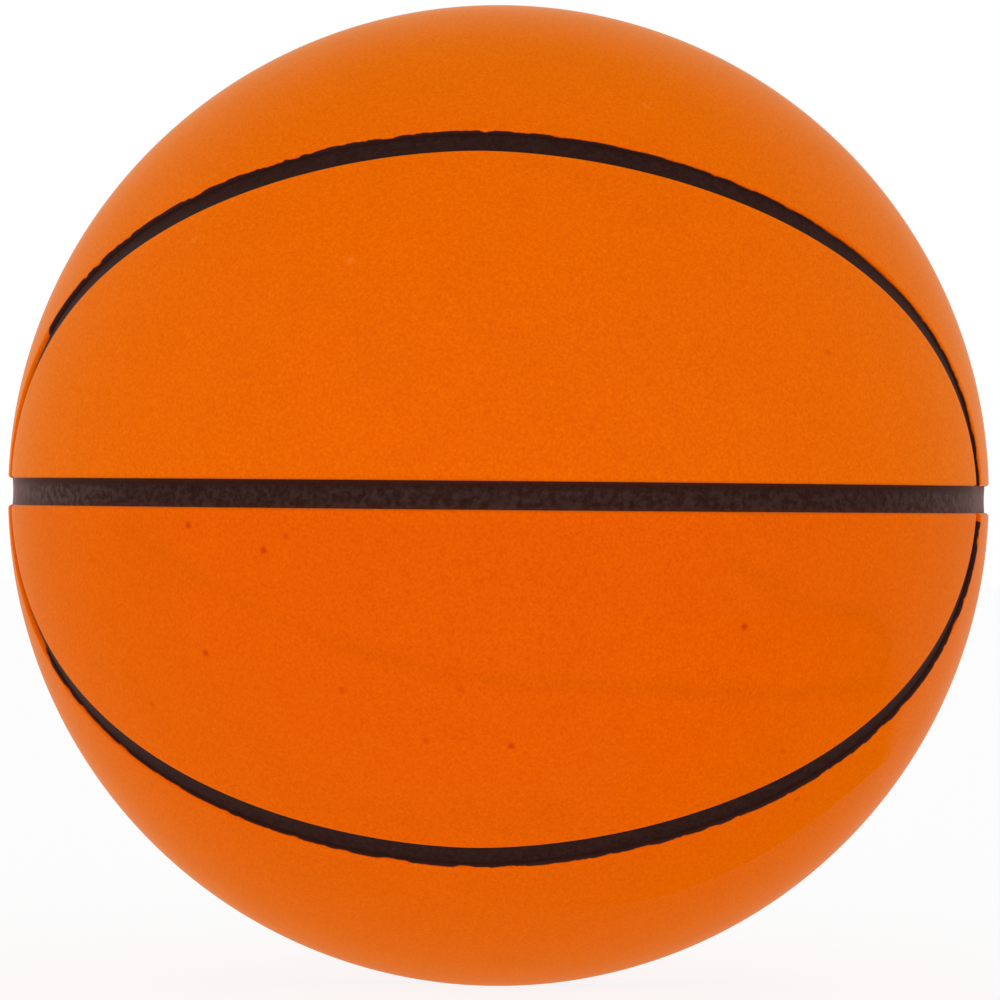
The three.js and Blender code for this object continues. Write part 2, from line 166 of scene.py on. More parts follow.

# Noises, as (period, detail, roughness)
COVER_MOTTLE = (9 * MM, 4.0, 0.6)
COVER_GRAIN = (0.33 * MM, 0.0, 0.5)
PAINT_BLOTS = (3 * MM, 2.0, 0.6)
SEAM_BLOTS = (0.9 * MM, 3.0, 0.6)
SEAM_GRAIN = (0.36 * MM, 2.0, 0.5)
LAYER_CLOUDS = (18 * MM, 4.0, 0.6)
LAYER_GRAIN = (0.6 * MM, 2.0, 0.5)
THREAD_PATCHES = (14 * MM, 1.0, 0.5)
NOISE_MIDDLE = 0.5  # what a noise is on average

# Reliefs, as (height, strength)
COVER_RELIEF = (0.01 * MM, 0.1)
SEAM_RELIEF = (0.04 * MM, 0.4)
LAYER_RELIEF = (0.03 * MM, 0.4)
THREAD_RELIEF = (0.2 * MM, 0.6)

# Finishes
GLOSSY_ORANGE = {
    "Roughness": 0.6,
    "Specular IOR Level": 0.0,
    "Coat Roughness": 0.05,
    "Coat IOR": 1.15,
    "Sheen Weight": 0.13,
    "Sheen Roughness": 0.6,
    "Sheen Tint": (0.85, 1.0, 0.0, 1.0),
}
GRAIN_SPREAD = (0.075, 0.34, 0.34)  # how far the grain takes the cover's red, green and blue up and down
MOTTLE_TONE = 0.08  # how much the cover's tone changes with the mottling
COAT_WEIGHT = 0.235
COAT_MOTTLE = 0.04  # how much the coat changes with the mottling
MATT_BLACK = {
    "Roughness": 0.6,
    "Specular IOR Level": 0.02,
    "Sheen Weight": 0.4,
    "Sheen Roughness": 0.3,
    "Sheen Tint": (1.0, 0.68, 0.64, 1.0),
}
SEAM_ROUGHNESS = (0.5, 0.7)  # between the blots and on them
SEAM_GRAIN_TONE = 1.2  # how much the strips' tone changes with their grain
LAYER_TONES = (0.8, 1.2)  # of the clouds in a layer's rubber
LAYER_CLOUD_ROUGHNESS = 0.1  # how much rougher the clouds are
CARCASS_ROUGHNESS = 0.65
BLADDER_ROUGHNESS = 0.5
VALVE_ROUGHNESS = 0.45
LAYER_SPECULAR = 0.3
THREAD_TONES = (0.6, 1)  # between the strands and on them
THREAD_ROUGHNESS = (0.75, 0.65)  # likewise
THREAD_WAVES = {"Scale": 0.35 / MM, "Distortion": 1.5, "Detail": 1.0}
THREAD_CROSSING = (0.45, 0.55)  # the noise goes over from one set of strands to the other between these

# The stage
WHITE = (1, 1, 1, 1)
BLACK = (0, 0, 0, 1)
PAPER = (0.95, 0.95, 0.95, 1)
CEILING_HEIGHTS = (0.55, 0.85)  # sines of the elevations between which the sky goes over to the ceiling
CEILING_SHADE = 0.2  # how much darker the ceiling is as a light
MIRRORED_CEILING_SHADE = 0.6  # and as reflections show it
FLOOR_SHADOW = 0.12  # share of the floor's look that takes light and shade
MIRRORED_SHADOW = 0.52  # the same share in reflections
CARD_MIDDLE = (-32 * MM, 93 * MM)  # of the ring that the black card is a stretch of
CARD_RADII = (133 * MM, 260 * MM)
CARD_TURN = (math.radians(-72), math.radians(-14))  # its ends, turned from +X towards +Y
CARD_FADE = math.radians(9)  # over this turn each end fades out
CARD_LIFT = 0.2 * MM  # above the floor


def length_property(name, default, description):
    """A length that a user can change."""
    return FloatProperty(name=name, description=description, default=default, unit="LENGTH", precision=5)


def colour_property(name, default, description):
    """A colour that a user can change."""
    return FloatVectorProperty(name=name, description=description, default=default, subtype="COLOR", size=3)


class SeamSizes(bpy.types.PropertyGroup):
    """The seam pattern. Widths and distances are measured along the ball's surface."""

    equator_width: length_property("Equator Width", 2.9 * MM, "Width of the strip round the equator")
    side_width: length_property(
        "Side Width", 2.9 * MM, "Width of the strips over the top and under the bottom")
    loop_width: length_property("Loop Width", 2.6 * MM, "Width of a loop's strip at its crown")
    loop_tip_width: length_property(
        "Loop Tip Width", 1.8 * MM, "Width of a loop's strip where it meets the equator")
    clearance: length_property("Clearance", 0.3 * MM, "From a strip's edge to the panel beside it")
    edge_round: length_property("Edge Rounding", 0.5 * MM, "Radius of the panels' rounded edges")
    loop_to_side: length_property(
        "Loop to Side Seam", 15.6 * MM, "On the equator, from a loop's middle to the side seam's")
    upper_crown: length_property(
        "Upper Crown", 48.1 * MM, "From the equator up to an upper loop's middle")
    lower_crown: length_property(
        "Lower Crown", 49.5 * MM, "From the equator down to a lower loop's middle")
    loop_leanness: FloatProperty(
        name="Loop Leanness", description="1 makes a loop an ellipse, and more draws its flanks in",
        default=1.09)
    paint_gap: length_property(
        "Paint Gap", 1.1 * MM, "How far short of the equator the lower loops' black ends")
    dish: length_property("Dish", 0.08 * MM, "How far a strip's middle lies below its edges")


class ValveSizes(bpy.types.PropertyGroup):
    """The needle valve, turned about its own axis."""

    stem_radius: length_property("Stem Radius", 2.35 * MM, "Radius of the plug's stem")
    head_lip: length_property("Head Lip", 1.55 * MM, "How far the plug's head stands out round its stem")
    head_height: length_property("Head Height", 1.8 * MM, "Height of the plug's head")
    needle_radius: length_property("Needle Radius", 0.8 * MM, "Radius of the needle's channel")
    needle_end_wall: length_property(
        "Needle End Wall", 4 * MM, "Rubber below the needle's channel, down to the boss's end")
    funnel: length_property(
        "Funnel", 0.7 * MM, "Depth of the needle's funnel, and how much wider its mouth is")
    clearance: length_property("Clearance", 0.25 * MM, "Round the plug, and under its head")
    neck_wall: length_property("Neck Wall", 0.8 * MM, "Rubber of the seat round the plug's head")
    rim_ledge: length_property(
        "Rim Ledge", 1.05 * MM, "How far the seat's rim lies on the carcass round its neck")
    boss_wall: length_property("Boss Wall", 3 * MM, "Rubber of the seat round the plug's stem")
    flange_reach: length_property(
        "Flange Reach", 6.4 * MM, "How far the flange lies under the bladder round the boss")
    flange_wall: length_property("Flange Wall", 1.4 * MM, "Thickness of the flange")
    fillet: length_property("Fillet", 0.35 * MM, "Rounding of the edges that show")


class BallColours(bpy.types.PropertyGroup):
    """The colours of the ball's rubbers and thread."""

    upper_cover: colour_property(
        "Upper Cover", (0.842, 0.121, 0.0002), "The orange rubber of the panels above the equator")
    # The lower panels' colour is darker and redder than the upper ones': painted shade for the lesser light
    # on the ball's lower half.
    lower_cover_with_painted_shade: colour_property(
        "Lower Cover", (0.81, 0.1, 0.0002), "The redder rubber of the panels below the equator")
    seam: colour_property(
        "Seam", (0.026, 0.0086, 0.0062), "The black of the seam strips and the paint at the panels' edges")
    # the dust colour also serves as painted sheen at the equator strip's ends
    dust: colour_property("Dust", (0.085, 0.05, 0.044), "The grey-brown dust on the strips")
    fleck: colour_property("Dark Fleck", (0.55, 0.012, 0.0002), "The dark flecks in the cover")
    pale_fleck: colour_property("Pale Fleck", (0.9, 0.24, 0.03), "The pale flecks in the cover")
    carcass: colour_property("Carcass", (0.042, 0.032, 0.026), "The rubber under the panels")
    thread: colour_property("Thread", (0.69, 0.66, 0.55), "The nylon thread wound round the bladder")
    bladder: colour_property("Bladder", (0.012, 0.012, 0.013), "The rubber of the bladder and the valve")


class StageSizes(bpy.types.PropertyGroup):
    """The camera, the lights and the floor."""

    camera_distance: length_property("Camera Distance", 0.65, "From the ball's centre to the camera")
    camera_turn: FloatProperty(
        name="Camera Turn", description="How far the camera stands round to the ball's right",
        default=math.radians(3.1), subtype="ANGLE")
    camera_roll: FloatProperty(
        name="Camera Roll", description="How far the camera leans over to its left",
        default=math.radians(0.5), subtype="ANGLE")
    picture_share: FloatProperty(
        name="Picture Share", description="Share of the picture's width that the ball fills",
        default=0.981, subtype="FACTOR")
    lens_shift: FloatVectorProperty(
        name="Lens Shift", description="How far the lens is shifted right and up, in shares of the picture",
        default=(0.0015, -0.0045), size=2)
    floor_size: length_property("Floor Size", 6.0, "Length of the floor's sides")
    sky_light: FloatProperty(
        name="Sky Light", description="Strength of the light from all round",
        default=0.92)
    key_power: FloatProperty(
        name="Key Power", description="Power of the lamp in front",
        default=1.8, unit="POWER")
    key_size: length_property("Key Size", 0.6, "Diameter of the lamp in front")
    key_place: FloatVectorProperty(
        name="Key Place", description="Where the lamp in front hangs",
        default=(-0.13, -1.1, 0.1), subtype="TRANSLATION", unit="LENGTH", size=3)


def direction(longitude, latitude):
    """Points of the unit sphere: longitude from the front towards +X, latitude up from the equator."""
    longitude, latitude = np.broadcast_arrays(longitude, latitude)
    level = np.cos(latitude)
    return np.stack([level * np.sin(longitude), -level * np.cos(longitude), np.sin(latitude)], axis=-1)


def side_line(angle, offset):
    """A line beside the side seam's middle: a circle about +Y, shifted towards +Y by an angle. It runs
    over the top from +X at angle 0 to -X at angle pi."""
    angle, offset = np.broadcast_arrays(angle, offset)
    level = np.cos(offset)
    return np.stack([level * np.cos(angle), np.sin(offset), level * np.sin(angle)], axis=-1)


def side_start(offset, latitude):
    """Where such a line, followed up from its right end, reaches a latitude."""
    return math.asin(math.sin(latitude) / math.cos(offset))


def from_left(share, start):
    """The parameter at a share of the way along a line that runs over the ball from start, its right end,
    to pi - start, its left end. Share 0 is at the left end and share 1 at the right one."""
    return math.pi - start - share * (math.pi - 2 * start)


def between(low, high, share):
    """A value that goes from low to high as a share goes from 0 to 1."""
    return low + (high - low) * share


def unit(vectors):
    """Vectors brought to length one."""
    return vectors / np.linalg.norm(vectors, axis=-1, keepdims=True)


def arc_of(cosine):
    """The distance over the ball's surface between points at an angle with this cosine."""
    return BALL_RADIUS * np.arccos(np.clip(cosine, -1, 1))


def arc_between(first, second):
    """The distance over the ball's surface between unit vectors."""
    return arc_of(np.sum(first * second, axis=-1))


class Loop:
    """Half a loop of the seams, in front and above the equator.

    Its middle line is half a lean ellipse in longitude and latitude: longitude reach * cos(t) and latitude
    rise * sin(t), with the cosine and sine raised to a power and their signs kept. It runs from its right
    end at t = 0 over the crown to its left end at t = pi. The paint leaves the groove's outer wall clean
    at the end on the side of clean_end: 1 is right, -1 is left and 0 is neither.
    """

    def __init__(self, seams, back, lower):
        crown = seams.lower_crown if lower else seams.upper_crown
        self.paint_gap = seams.paint_gap if lower else 0
        # Both front loops end clean at the ball's left, where the lower one's right end is turned to
        self.clean_end = 0 if back else 1 if lower else -1
        self.bleed = LOWER_BLEED if lower else UPPER_BLEED
        self.reach = math.pi / 2 - seams.loop_to_side / BALL_RADIUS
        self.rise = crown / BALL_RADIUS
        self.leanness = seams.loop_leanness
        self.tip_half = seams.loop_tip_width / 2 / BALL_RADIUS
        self.crown_half = seams.loop_width / 2 / BALL_RADIUS

    def middle(self, t):
        """The middle line."""
        across, up = np.cos(t), np.sin(t)
        longitude = self.reach * np.sign(across) * np.abs(across) ** self.leanness
        return direction(longitude, self.rise * np.sign(up) * np.abs(up) ** self.leanness)

    def edge(self, t, side, clearance):
        """A line beside the middle line: each of its points turned sideways by half the strip's width
        there and a clearance. Side 1 lies outside the loop and side -1 inside it."""
        middle = self.middle(t)
        along = self.middle(t + TANGENT_STEP) - self.middle(t - TANGENT_STEP)
        outward = unit(np.cross(along, middle))
        half = between(self.tip_half, self.crown_half, np.sin(t))
        angle = (side * (half + clearance / BALL_RADIUS))[..., None]
        return middle * np.cos(angle) + outward * np.sin(angle)

    def start(self, side, clearance, latitude):
        """Where such a line, followed up from its right end, reaches a latitude."""
        t = np.linspace(*START_RANGE, START_STEPS + 1)
        heights = self.edge(t, side, clearance)[:, 2]
        return float(np.interp(math.sin(latitude), heights, t))

    def distance(self, points, t, side, clearance):
        """The distance from points to such a line. The foot of each perpendicular is found from a first
        guess t by Newton's method: it moves along the line's tangent to below the point."""
        for _ in range(FOOT_STEPS):
            ahead = self.edge(t + TANGENT_STEP, side, clearance)
            behind = self.edge(t - TANGENT_STEP, side, clearance)
            tangent = (ahead - behind) / (2 * TANGENT_STEP)
            move = np.sum(tangent * points, axis=-1) / np.sum(tangent * tangent, axis=-1)
            t = np.clip(t + move, 0, math.pi)
        return arc_between(points, self.edge(t, side, clearance))

    def in_gap(self, to_equator, to_loop):
        """Whether points at these distances from the borders lie beside the gap in the loop's paint."""
        return (to_equator < self.paint_gap) & (to_loop < GAP_REACH)


def edge_bend():
    """Rows over a rounded edge, as shares of its rounding: 1 - cos(a) for even steps of a quarter turn,
    and one more row where the panel is flat again."""
    return np.append(1 - np.cos(np.linspace(0, math.pi / 2, EDGE_ROWS + 1)), SETTLE)


def edge_rows(steps):
    """Rows across a panel, as shares base + slope * r of the way, where r is the share that a rounded
    edge takes: close rows over the edge at both ends, and even steps between them."""
    bend = edge_bend()
    even = np.arange(1, steps) / steps
    base = np.concatenate([np.zeros(bend.size), even, np.ones(bend.size)])
    slope = np.concatenate([bend, SETTLE * (1 - 2 * even), -bend[::-1]])
    return base, slope


def panel_faces(points, distance, edge_round):
    """A panel's outer and inner face over points of the unit sphere. The outer one is rounded off with a
    radius r at its border: where the border is r - s away, it lies r - sqrt(r^2 - s^2) lower."""
    short = np.clip(edge_round - distance, 0, edge_round)
    drop = edge_round - np.sqrt(edge_round**2 - short**2)
    return points * (BALL_RADIUS - drop)[..., None], points * PANEL_BASE


def base_latitude(seams):
    """The latitude of the panels' lower edges, beside the equator strip."""
    return (seams.equator_width / 2 + seams.clearance) / BALL_RADIUS


def lens_grid(loop, seams):
    """A lens panel's outer face on the unit sphere, and each point's distance to its border and share of
    bleeding paint. Columns run from the equator's edge up to the loop's inner edge: both lines are
    divided evenly, and each point is a share of the straight way between them, brought to the sphere."""
    base = base_latitude(seams)
    start = loop.start(-1, seams.clearance, base)
    across = np.linspace(0, 1, LENS_COLUMNS + 1)
    t = from_left(across, start)
    top = loop.edge(t, -1, seams.clearance)
    half_span = math.atan2(top[-1, 0], -top[-1, 1])
    bottom = direction(half_span * (2 * across - 1), base)
    length = np.maximum(arc_between(bottom, top), MERGE_DISTANCE)
    rounding = np.minimum(seams.edge_round, EDGE_MOST * length) / length
    even, slope = edge_rows(LENS_ROWS)
    share = (even[:, None] + slope[:, None] * rounding)[..., None]
    points = unit(between(bottom, top, share))
    to_equator = BALL_RADIUS * (np.arcsin(points[..., 2]) - base)
    to_loop = loop.distance(points, np.broadcast_to(t, points.shape[:2]), -1, seams.clearance)
    distance = np.maximum(np.minimum(to_equator, to_loop), 0)
    return points, distance, np.where(loop.in_gap(to_equator, to_loop), CLEAN_BLEED, CALM_BLEED)


def wrap_bleed(loop, points, to_loop, to_side, to_equator):
    """The share of bleeding paint over a wrap panel: ragged where the loop is the nearest border, but none
    at the loop's clean end and beside the gap in its paint, and calm elsewhere."""
    ragged = np.interp(points[..., 0], RAGGED_PLACES, loop.bleed)
    towards_clean_end = np.interp(to_equator, CLEAN_HEIGHTS, (CLEAN_BLEED, 1))
    at_clean_end = points[..., 0] * loop.clean_end > 0
    ragged = np.where(at_clean_end, np.minimum(towards_clean_end, ragged), ragged)
    bleed = np.where(to_loop < np.minimum(to_side, to_equator), ragged, CALM_BLEED)
    return np.where(loop.in_gap(to_equator, to_loop), CLEAN_BLEED, bleed)


def wrap_grid(loop, seams):
    """A wrap panel's outer face on the unit sphere, with distances and bleeding as a lens panel has. It is
    blended from its four side lines: the loop's outer edge, the side seam's edge and two stretches of the
    equator's edge. Each pair of opposite lines is joined straight, the two results are added, and what the
    four corners alone would give is taken off once."""
    base = base_latitude(seams)
    loop_start = loop.start(1, seams.clearance, base)
    offset = -(seams.side_width / 2 + seams.clearance) / BALL_RADIUS
    seam_start = side_start(offset, base)

    def bottom(u):
        return loop.edge(from_left(u, loop_start), 1, seams.clearance)

    def top(u):
        return side_line(from_left(u, seam_start), offset)

    near, far = bottom(np.array(1.0)), top(np.array(1.0))
    near_longitude = math.atan2(near[0], -near[1])
    far_longitude = math.atan2(far[0], -far[1])

    def end(v, side):
        return direction(side * between(near_longitude, far_longitude, v), base)

    even, slope = edge_rows(WRAP_COLUMNS)
    u = even + slope * seams.edge_round / (math.pi * BALL_RADIUS)
    length = arc_between(bottom(u), top(u))
    even, slope = edge_rows(WRAP_ROWS)
    v = even[:, None] + slope[:, None] * seams.edge_round / length
    u = np.broadcast_to(u, v.shape)
    across, up = u[..., None], v[..., None]
    corners = (
        (1 - across) * (1 - up) * bottom(np.array(0.0))
        + across * (1 - up) * near
        + (1 - across) * up * top(np.array(0.0))
        + across * up * far
    )
    points = unit(
        (1 - up) * bottom(u) + up * top(u) + (1 - across) * end(v, -1) + across * end(v, 1) - corners
    )
    to_loop = loop.distance(points, from_left(u, loop_start), 1, seams.clearance)
    to_equator = BALL_RADIUS * (np.arcsin(points[..., 2]) - base)
    to_side = BALL_RADIUS * (offset - np.arcsin(points[..., 1]))
    distance = np.maximum(np.minimum(np.minimum(to_equator, to_side), to_loop), 0)
    return points, distance, wrap_bleed(loop, points, to_loop, to_side, to_equator)


def turned(points, back, lower):
    """Points turned half round about +Y for the lower half of the ball, and about +Z for its back."""
    signs = np.ones(3)
    if lower:
        signs = signs * (-1, 1, -1)
    if back:
        signs = signs * (-1, -1, 1)
    return points * signs


def grid_faces(rows, columns, closed=False):
    """Four-sided faces over a grid of points counted row by row. They face the side from which the rows
    run upwards and the columns to the right. A closed grid joins its last column to its first."""
    index = np.arange(rows * columns).reshape(rows, columns)
    if closed:
        index = np.hstack([index, index[:, :1]])
    return np.stack([index[:-1, :-1], index[:-1, 1:], index[1:, 1:], index[1:, :-1]], axis=-1)


def border_of(grid):
    """The points round a grid's border, in order: along its first row, up its last column and back."""
    return np.concatenate([grid[0, :-1], grid[:-1, -1], grid[-1, :0:-1], grid[:0:-1, 0]])


def set_attribute(mesh, name, values):
    """Gives a mesh a named number for each of its points."""
    layer = mesh.attributes.new(name, "FLOAT", "POINT")
    layer.data.foreach_set("value", values.astype(np.float32))


class Skin:
    """Gathers grids of points into one closed mesh: grids that share a border are merged along it."""

    def __init__(self):
        self.points = []
        self.faces = []
        self.values = {}
        self.count = 0

    def add(self, points, closed=False, inward=False, left_out=None, **values):
        """Adds a grid of points, with a value of each named attribute for every point. Faces turn round
        where it faces inward, and those in left_out, a pair of slices, aren't made."""
        rows, columns = points.shape[:2]
        faces = grid_faces(rows, columns, closed)
        kept = np.ones(faces.shape[:2], bool)
        if left_out:
            kept[left_out] = False
        faces = faces[kept]
        self.faces.append((faces[:, ::-1] if inward else faces) + self.count)
        self.points.append(points.reshape(-1, 3))
        self.count += rows * columns
        for name, value in values.items():
            spread = np.broadcast_to(value, (rows, columns)).ravel()
            self.values.setdefault(name, []).append(spread)

    def piece(self, name, material, body, slot, *nodes):
        """The mesh as a smooth piece of the ball that rides on a body and stands for nodes."""
        mesh = bpy.data.meshes.new(name)
        mesh.from_pydata(np.concatenate(self.points).tolist(), [], np.concatenate(self.faces).tolist())
        for attribute, values in self.values.items():
            set_attribute(mesh, attribute, np.concatenate(values))
        sewn = bmesh.new()
        sewn.from_mesh(mesh)
        bmesh.ops.remove_doubles(sewn, verts=sewn.verts, dist=MERGE_DISTANCE)
        sewn.to_mesh(mesh)
        sewn.free()
        mesh.shade_smooth()
        mesh.set_sharp_from_angle(angle=SHARP_ANGLE)
        mesh.materials.append(material)
        made = bpy.data.objects.new(name, mesh)
        bpy.context.scene.collection.objects.link(made)
        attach(made, body)
        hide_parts(*nodes)


def scuff_share(points):
    """How strongly the scuff marks points of the unit sphere: 1 on its line, and falling off as a bell
    curve with the distance from it. Its line goes straight from one place to the next."""
    corners = np.radians(SCUFF)
    along = np.linspace(0, len(corners) - 1, SCUFF_STEPS)
    longitude, latitude = (np.interp(along, np.arange(len(corners)), column) for column in corners.T)
    line = direction(longitude, latitude)
    nearest = (points.reshape(-1, 3) @ line.T).max(axis=1).reshape(points.shape[:-1])
    return np.exp(-((arc_of(nearest) / SCUFF_WIDTH) ** 2))


def panel_skin(grid, seams, back, lower, hole=None):
    """A panel: an outer face that is rounded off at its border, an inner face, and a wall between them.
    Where it has a hole, a block of its faces gives way to rings from the block's border to the hole."""
    points, distance, bleed = grid
    points = turned(points, back, lower)
    outer, inner = panel_faces(points, distance, seams.edge_round)
    block = hole.block(points) if hole else None
    scuff = scuff_share(points)
    skin = Skin()
    skin.add(outer, left_out=block, seam=distance, bleed=bleed, scuff=scuff)
    skin.add(inner, left_out=block, inward=True, seam=HIDDEN_SEAM, bleed=CALM_BLEED, scuff=scuff)
    wall = np.stack([border_of(inner), border_of(outer)])
    down_wall = np.array([[HIDDEN_SEAM], [0]])
    skin.add(wall, closed=True, seam=down_wall, bleed=border_of(bleed), scuff=border_of(scuff))
    if hole:
        hole.add_rings(skin, points, block)
    return skin


class ValveHole:
    """The round hole for the valve's rim in a panel: rings of points that go over from the border of a
    block of the panel's grid to a circle about the valve's axis, rounded off at the circle."""

    def __init__(self, radius, edge_round):
        self.radius = radius
        self.edge_round = edge_round
        self.east = unit(np.cross(UP, VALVE_AXIS))
        self.north = np.cross(VALVE_AXIS, self.east)

    def block(self, points):
        """The rows and columns of a panel's grid that lie near the hole, from the grid lines through its
        middle column and through the row nearest the axis."""
        middle = points.shape[1] // 2
        row = np.argmax(points[:, middle] @ VALVE_AXIS)
        reach = HOLE_BLOCK * self.radius
        rows = np.flatnonzero(arc_between(points[:, middle], VALVE_AXIS) < reach)
        columns = np.flatnonzero(arc_between(points[row], VALVE_AXIS) < reach)
        return slice(rows[0], rows[-1]), slice(columns[0], columns[-1])

    def add_rings(self, skin, points, block):
        """The rings on the outer and inner face, and the hole's wall."""
        rows, columns = block
        border = border_of(points[rows.start : rows.stop + 1, columns.start : columns.stop + 1])
        around = np.arctan2(border @ self.north, border @ self.east)[:, None]
        turn = self.radius / BALL_RADIUS
        sideways = np.cos(around) * self.east + np.sin(around) * self.north
        circle = math.cos(turn) * VALVE_AXIS + math.sin(turn) * sideways
        even = np.linspace(0, 1, HOLE_ROWS + 1)[:-1]
        rounding = self.edge_round / np.mean(arc_between(border, circle))
        share = np.concatenate([even * (1 - SETTLE * rounding), 1 - rounding * edge_bend()[::-1]])
        rings = unit(between(border, circle, share[:, None, None]))
        distance = arc_between(rings, VALVE_AXIS) - self.radius
        outer, inner = panel_faces(rings, distance, self.edge_round)
        clear = {"seam": CLEAR_OF_SEAM, "bleed": 0, "scuff": 0}
        skin.add(outer, closed=True, **clear)
        skin.add(inner, closed=True, inward=True, **clear)
        skin.add(np.stack([outer[-1], inner[-1]]), closed=True, **clear)


def strip_skin(first, second, seams, back=False, lower=False, bare=0):
    """A seam strip between two edge lines on the unit sphere. Its points are shares of the straight way
    between the lines, brought to the strip's top, which is dished as a parabola across. Where its points
    are nearer the equator's edge than bare, it isn't black."""
    share = np.linspace(0, 1, STRIP_ROWS + 1)[:, None]
    points = turned(unit(between(first, second, share[..., None])), back, lower)
    outer = points * (STRIP_TOP - seams.dish * 4 * share * (1 - share))[..., None]
    inner = points * PANEL_BASE
    beside_equator = np.abs(points[..., 2]) * BALL_RADIUS - base_latitude(seams) * BALL_RADIUS < bare
    values = {"bare": beside_equator, "dust": LOOP_DUST}
    skin = Skin()
    skin.add(outer, **values)
    skin.add(inner, inward=True, **values)
    wall = np.stack([border_of(inner), border_of(outer)])
    skin.add(wall, closed=True, bare=border_of(beside_equator), dust=LOOP_DUST)
    return skin


def revolved(profile, axis, segments):
    """A profile of (distance from the axis, height along it) pairs, turned once round the axis. The
    outside runs upwards and the inside downwards. The grid has a row for each pair."""
    side = unit(np.cross(axis, (1, 0, 0)))
    other = np.cross(axis, side)
    angle = np.arange(segments) / segments * 2 * math.pi
    around = np.cos(angle)[:, None] * side + np.sin(angle)[:, None] * other
    return profile[:, :1, None] * around + profile[:, 1:, None] * axis


def revolved_skin(profile, segments):
    """A profile turned once round the valve's axis."""
    skin = Skin()
    skin.add(revolved(profile, VALVE_AXIS, segments), closed=True)
    return skin


def sphere_arc(radius, first, last, steps):
    """A circle about the ball's centre, as a profile between two angles from the axis."""
    angle = np.linspace(first, last, steps + 1)
    return np.stack([radius * np.abs(np.sin(angle)), radius * np.cos(angle)], axis=1)


def filleted(corners):
    """A profile with rounded corners. Each corner is (distance, height, rounding): a rounded one becomes
    a parabola that leaves and joins its two sides a rounding away from the corner."""
    places = np.array([corner[:2] for corner in corners])
    share = np.linspace(0, 1, FILLET_STEPS + 1)[:, None]
    profile = []
    for number, (_, _, rounding) in enumerate(corners):
        corner = places[number]
        if not rounding:
            profile.append(corner[None])
            continue
        before = corner + rounding * unit(places[number - 1] - corner)
        after = corner + rounding * unit(places[(number + 1) % len(corners)] - corner)
        profile.append((1 - share) ** 2 * before + 2 * share * (1 - share) * corner + share**2 * after)
    return np.concatenate(profile)


class Wire:
    """An output of a node. Arithmetic on it adds Math nodes."""

    def __init__(self, graph, socket):
        self.graph = graph
        self.socket = socket

    def __add__(self, other):
        return self.graph.math("ADD", self, other)

    def __sub__(self, other):
        return self.graph.math("SUBTRACT", self, other)

    def __rsub__(self, other):
        return self.graph.math("SUBTRACT", other, self)

    def __mul__(self, other):
        return self.graph.math("MULTIPLY", self, other)

    __radd__ = __add__
    __rmul__ = __mul__


class Graph:
    """A tree of shader nodes, emptied to be filled anew."""

    def __init__(self, tree):
        self.tree = tree
        tree.nodes.clear()

    def node(self, kind, settings=None, sockets=None, output=0):
        """Adds a node. Its settings come first, then its sockets, each a value or a wire, by name or
        place. The result is the wire of one of its outputs."""
        made = self.tree.nodes.new(kind)
        for name, value in (settings or {}).items():
            setattr(made, name, value)
        for place, value in (sockets or {}).items():
            if isinstance(value, Wire):
                self.tree.links.new(value.socket, made.inputs[place])
            else:
                made.inputs[place].default_value = value
        return Wire(self, made.outputs[output]) if made.outputs else None

    def math(self, operation, *values):
        """A Math node."""
        return self.node("ShaderNodeMath", {"operation": operation}, dict(enumerate(values)))

    def place(self):
        """Where a point is in the ball's own frame."""
        return self.node("ShaderNodeTexCoord", output="Object")

    def attribute(self, name):
        """A number that the mesh holds for each of its points."""
        return self.node("ShaderNodeAttribute", {"attribute_name": name}, output="Fac")

    def noise(self, place, period, detail, roughness):
        """Soft noise from 0 to 1 whose blots are about a period apart."""
        sockets = {"Vector": place, "Scale": 1 / period, "Detail": detail, "Roughness": roughness}
        return self.node("ShaderNodeTexNoise", None, sockets)

    def distance(self, place, middle):
        """How far a place is from a point."""
        sockets = {0: place, 1: middle}
        return self.node("ShaderNodeVectorMath", {"operation": "DISTANCE"}, sockets, output="Value")

    def rise(self, value, low, high):
        """0 below low, 1 above high, and a smooth rise between them."""
        sockets = {"Value": value, "From Min": low, "From Max": high}
        return self.node("ShaderNodeMapRange", {"interpolation_type": "SMOOTHSTEP"}, sockets)

    def blend(self, share, first, second):
        """A colour between two colours, which are a Mix node's inputs 6 and 7 and its output 2."""
        sockets = {0: share, 6: first, 7: second}
        return self.node("ShaderNodeMix", {"data_type": "RGBA"}, sockets, output=2)

    def toned(self, colour, tone):
        """A colour made lighter or darker by a factor."""
        sockets = {0: colour, "Scale": tone}
        return self.node("ShaderNodeVectorMath", {"operation": "SCALE"}, sockets)

    def bump(self, height, distance, strength):
        """A normal that follows a height from 0 to 1 over a real distance."""
        sockets = {"Height": height, "Distance": distance, "Strength": strength}
        return self.node("ShaderNodeBump", None, sockets)

    def rubber(self, sockets):
        """A surface that isn't metal."""
        return self.node("ShaderNodeBsdfPrincipled", None, sockets)

    def mixed(self, share, first, second):
        """A surface between two surfaces."""
        return self.node("ShaderNodeMixShader", None, {0: share, 1: first, 2: second})

    def finish(self, surface):
        """Gives the material its surface."""
        self.node("ShaderNodeOutputMaterial", None, {"Surface": surface})


def new_material(name):
    """An empty material and its graph."""
    material = bpy.data.materials.new(name)
    material.use_nodes = True
    return material, Graph(material.node_tree)


def opaque(colour):
    """A colour with the full alpha that a socket asks for."""
    return (*colour, 1.0)


def flecked(graph, place, colour, fleck_colour, flecks, radius, depth):
    """A colour with flecks of another colour, each fading out from its middle."""
    clean = 1
    for longitude, latitude in flecks:
        middle = BALL_RADIUS * direction(math.radians(longitude), math.radians(latitude))
        away = graph.distance(place, middle)
        clean = clean * between(1 - depth, 1, graph.rise(away, 0, radius))
    return graph.blend(clean, opaque(fleck_colour), colour)


